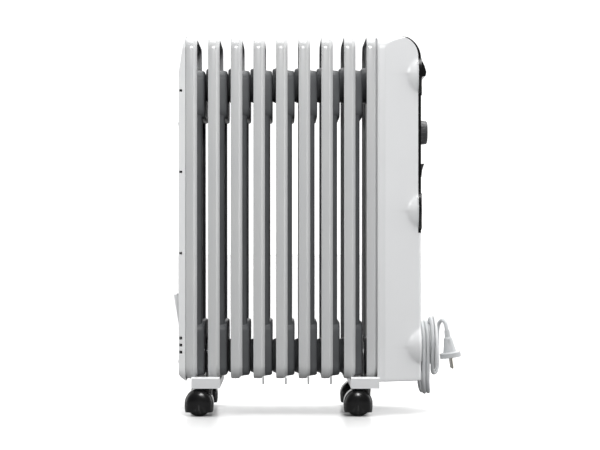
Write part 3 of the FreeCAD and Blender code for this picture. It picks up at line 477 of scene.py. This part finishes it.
housingSettings = {
    "back": 121.54 * mm,
    "strip": 134.74 * mm,
    "front": 197.74 * mm,
    "seat": 192.74 * mm,              # the front edge behind the fascia
    "half": 80 * mm,
    "frontHalf": 59 * mm,
    "low": 57.5 * mm,
    "top": 650 * mm,
    "sideRound": 24 * mm,
    "frontRound": 33 * mm,
    "fasciaLow": 312 * mm,
    "fasciaTop": 648.4 * mm,
    "ears": (116 * mm, 349 * mm, 582 * mm),
    "earHalf": (74 * mm, 40 * mm),    # half width and half height at the front
    "earSlope": 0.267,                # the ear closes in by this for each step back
    "edge": 3.5 * mm,                 # rolled front edges
    "foot": 3 * mm,                   # rolled lower edge
    "rowStep": 2.4 * mm,
    "softAbove": 2.6 * mm,            # how softly an ear's upper side runs into the wall
    "softBelow": 0.4 * mm,
    # the columns' places from back to front as shares: the strip, its edge, then the wall
    "columns": ((0, 0.06, 0.1, 0.13, 0.165, 0.18, 0.2), (0.23, 1, 34)),
    "wall": 2.5 * mm,
}


def wallHalf(x, z):
    # half width of the side wall: slanted plane or ear, whichever stands further out,
    # blended softly on the ear's upper side and left crisp on its lower side
    c = housingSettings
    plain = c["half"] - np.clip(x - c["strip"], 0, None) * (c["half"] - c["frontHalf"]) / (
        c["front"] - c["strip"])
    for height in c["ears"]:
        h = np.abs(z - height)
        wide, tall = c["earHalf"]
        drop = tall - np.sqrt(np.clip(tall ** 2 - h ** 2, 0, None))
        ear = np.where(h < tall, wide - c["earSlope"] * (c["front"] - x) - drop, plain - 40 * mm)
        soft = np.where(z > height, c["softAbove"], c["softBelow"])
        blend = (plain + ear + np.sqrt((plain - ear) ** 2 + soft ** 2)) / 2
        plain = np.where(h < tall, blend, plain)
    over = np.clip(z - (c["top"] - c["sideRound"]), 0, c["sideRound"])
    limit = c["half"] - c["sideRound"] + np.sqrt(c["sideRound"] ** 2 - over ** 2)
    return np.minimum(plain, limit)


def housingFront(z):
    # where the walls end at each height: at the front, behind the fascia, round its top corner
    c = housingSettings
    rise = np.clip(z - (c["fasciaTop"] - c["frontRound"]), 0, c["frontRound"])
    arc = c["seat"] - c["frontRound"] + np.sqrt(c["frontRound"] ** 2 - rise ** 2)
    return np.where(z < c["fasciaLow"], c["front"], arc)


def makeHousing():
    # rows up the housing, each a plan outline: back edge, strip, slanted wall, front, back again
    c = housingSettings
    seams = [c["fasciaLow"] - 0.01 * mm, c["fasciaLow"] + 0.01 * mm]
    z = np.unique(np.concatenate([
        [c["low"], c["low"] + 0.4 * mm, c["low"] + 1.5 * mm, c["low"] + c["foot"]], seams,
        np.arange(c["low"] + 2 * c["foot"], c["top"] - c["sideRound"], c["rowStep"]),
        c["top"] - c["sideRound"] * (1 - np.sin(np.linspace(0, np.pi / 2, 22)))]))
    low = np.clip((c["low"] + c["foot"] - z) / c["foot"], 0, 1)
    tuck = c["foot"] * (1 - np.sqrt(1 - low ** 2))
    front = housingFront(z) - tuck
    strip, wall = c["columns"]
    share = np.concatenate([strip, np.linspace(*wall)])
    edge = np.where(z < c["fasciaLow"], c["edge"], 0.02 * mm)
    reach = front - edge
    x = c["back"] + (reach - c["back"])[:, None] * share
    y = wallHalf(x, z[:, None]) - tuck[:, None]
    y = np.maximum(y, 5 * mm)
    a = np.linspace(0, np.pi / 2, 7)[1:]
    cornerY = wallHalf(front, z) - tuck
    xEdge = reach[:, None] + edge[:, None] * np.sin(a)
    yEdge = (np.minimum(cornerY, y[:, -1]) - edge)[:, None] + edge[:, None] * np.cos(a)
    yFront = yEdge[:, -1:] * np.linspace(1, 0, 16)[1:]
    xFront = np.broadcast_to(front[:, None], yFront.shape)
    xs = np.concatenate([x, xEdge, xFront], axis=1)
    ys = np.concatenate([y, yEdge, yFront], axis=1)
    near = np.stack([xs, -ys, np.broadcast_to(z[:, None], xs.shape)], axis=-1)
    far = near[:, ::-1][:, 1:] * (1, -1, 1)
    grid = np.concatenate([near, far], axis=1)
    columns = np.arange(grid.shape[1] - 1)
    sides = x.shape[1] + 5
    isFront = (columns >= sides) & (columns < grid.shape[1] - 1 - sides)
    keep = ~(isFront[None, :] & (z[:-1, None] > c["fasciaLow"]))
    n = grid.shape[1]
    roof = [list(range((len(z) - 1) * n, len(z) * n))]
    underside = [list(range(n))]
    points, faces, finish = openSkin(grid, keep)
    makePiece("housingShell", [(points, faces + roof + underside, finish)], (whiteAbs,), "body",
              ("control_housing",), 24.0, c["wall"])


makeHousing()
print("housing moulded")


castorSettings = {
    "stems": {"rear_near": (-170.84, -76.5), "rear_far": (-170.84, 76.5),
              "front_near": (99.78, -76.5), "front_far": (99.78, 76.5)},
    "trail": 11.5 * mm,
    "axle": 22.3 * mm,
    "half": 21.5 * mm,
    "edge": 11 * mm,     # where the dome of an end starts, from the middle
    "share": 0.3,        # the part of the rings that the drum between the domes takes
    "fullness": 0.85,    # under 1 makes the domes fuller
    "radius": 24.5 * mm,
    "low": 7 * mm,
    "skirt": 0.2,        # under the axle: 1 leaves it round, and 0 makes it straight down
    "wall": 1.6 * mm,
    # collar round the stem as (height, r)
    "collar": ((30, 9.6), (38, 10.2), (44, 10.5), (46.2, 10.5), (47.0, 10.1), (47.4, 9.2)),
}


def hoodSkin(x, y):
    # r(t) and along(t) give a drum with domed ends round the axle; each ring starts and ends
    # where it meets the level of the hood's open lower edge, and widens into a skirt below the axle
    c = castorSettings
    t = np.linspace(-1, 1, 49)
    dome = np.clip((np.abs(t) - c["share"]) / (1 - c["share"]), 0, 1) * np.pi / 2
    along = np.sign(t) * (np.minimum(np.abs(t) / c["share"], 1) * c["edge"]
                          + (c["half"] - c["edge"]) * np.sin(dome))
    r = np.maximum(c["radius"] * np.cos(dome) ** c["fullness"], 1e-9)
    start = np.arccos(np.clip((c["axle"] - c["low"]) / r, -1, 1))
    turn = start[:, None] + (2 * np.pi - 2 * start)[:, None] * np.linspace(0, 1, 61)
    side = np.sin(turn)
    side = np.where(np.cos(turn) > 0, np.sign(side) * np.abs(side) ** c["skirt"], side)
    return openSkin(np.stack([
        x - c["trail"] + r[:, None] * side,
        np.broadcast_to(y + along[:, None], turn.shape),
        c["axle"] - r[:, None] * np.cos(turn)], axis=-1))


def makeCastors():
    c = castorSettings
    for place, (x, y) in c["stems"].items():
        x, y = x * mm, y * mm
        makePiece(f"castorHood_{place}", [hoodSkin(x, y)], (blackNylon,), f"castor_{place}",
                  (f"castor_hood_{place}",), 40.0, c["wall"])
        makePiece(f"castorCollar_{place}", [skin(turned(c["collar"], (x, y, 0), (0, 0, 1)))],
                  (blackNylon,), f"castor_{place}")


makeCastors()
print("castors moulded")


floorSettings = {
    "half": 40.0,
    "seen": "#FAFAFA",
    "thrown": "#8C8C8C",    # what the floor throws back at the object is greyer than it looks
    "roughness": 0.26,
    "ior": 1.45,
}


def makeFloor(settings):
    # a plain level sheet under the castors
    half = settings["half"]
    mesh = bpy.data.meshes.new("floor")
    mesh.from_pydata([(-half, -half, 0), (half, -half, 0), (half, half, 0), (-half, half, 0)],
                     [], [(0, 1, 2, 3)])
    material, tree = newMaterial("paintedWhiteFloor")
    path = addNode(tree, "ShaderNodeLightPath")
    colour = ramp(tree, (path, "Is Camera Ray"), 0.0, 1.0, linear(settings["thrown"]),
                  linear(settings["seen"]))
    finishMaterial(tree, {"Base Color": (colour, "Color"), "Roughness": settings["roughness"],
                          "IOR": settings["ior"]})
    mesh.materials.append(material)
    floor = bpy.data.objects.new("floor", mesh)
    bpy.context.scene.collection.objects.link(floor)
    return floor


makeFloor(floorSettings)

lightSettings = {
    # name: (place, target, width, height, watts)
    "right": ((2.6, -0.35, 0.9), (0.0, 0.0, 0.35), 1.2, 1.8, 15.0),
    "left": ((-2.6, -0.2, 0.9), (0.0, 0.0, 0.35), 1.2, 1.8, 14.0),
    "top": ((0.2, 0.0, 2.8), (0.0, 0.0, 0.3), 2.6, 1.6, 60.0),
    "front": ((0.15, -2.3, 1.5), (0.0, 0.0, 0.1), 0.4, 0.4, 23.0),
}
worldSettings = {
    "behind": 1.25,       # brightness past the object, seen from the front of the fins
    "before": 0.10,       # and on the side that the fins' edges face
    "turn": (-0.8, 0.1),  # the directions along Y between which it changes
}


def makeLights(settings):
    for name, (place, target, width, height, watts) in settings.items():
        data = bpy.data.lights.new(name, "AREA")
        data.shape = "RECTANGLE"
        data.size, data.size_y, data.energy = width, height, watts
        light = bpy.data.objects.new(name, data)
        light.location = place
        way = Vector(target) - Vector(place)
        light.rotation_euler = way.to_track_quat("-Z", "Y").to_euler()
        bpy.context.scene.collection.objects.link(light)


def makeWorld(settings):
    # a white room whose wall on the -Y side throws less light, though it looks as white
    world = bpy.data.worlds.new("world")
    world.use_nodes = True
    tree = world.node_tree
    way = addNode(tree, "ShaderNodeTexCoord")
    part = addNode(tree, "ShaderNodeSeparateXYZ", inputs={"Vector": (way, "Generated")})
    level = addNode(tree, "ShaderNodeMapRange", {"interpolation_type": "SMOOTHSTEP"}, {
        "Value": (part, "Y"), "From Min": settings["turn"][0], "From Max": settings["turn"][1],
        "To Min": settings["before"], "To Max": settings["behind"]})
    path = addNode(tree, "ShaderNodeLightPath")
    strength = addNode(tree, "ShaderNodeMapRange", inputs={
        "Value": (path, "Is Camera Ray"), "To Min": (level, "Result"),
        "To Max": settings["behind"]})
    tree.links.new(strength.outputs["Result"], tree.nodes["Background"].inputs["Strength"])
    tree.nodes["Background"].inputs["Color"].default_value = linear("#FFFFFF")
    bpy.context.scene.world = world


makeLights(lightSettings)
makeWorld(worldSettings)
bpy.context.scene.view_settings.view_transform = "Standard"
print("lights set")
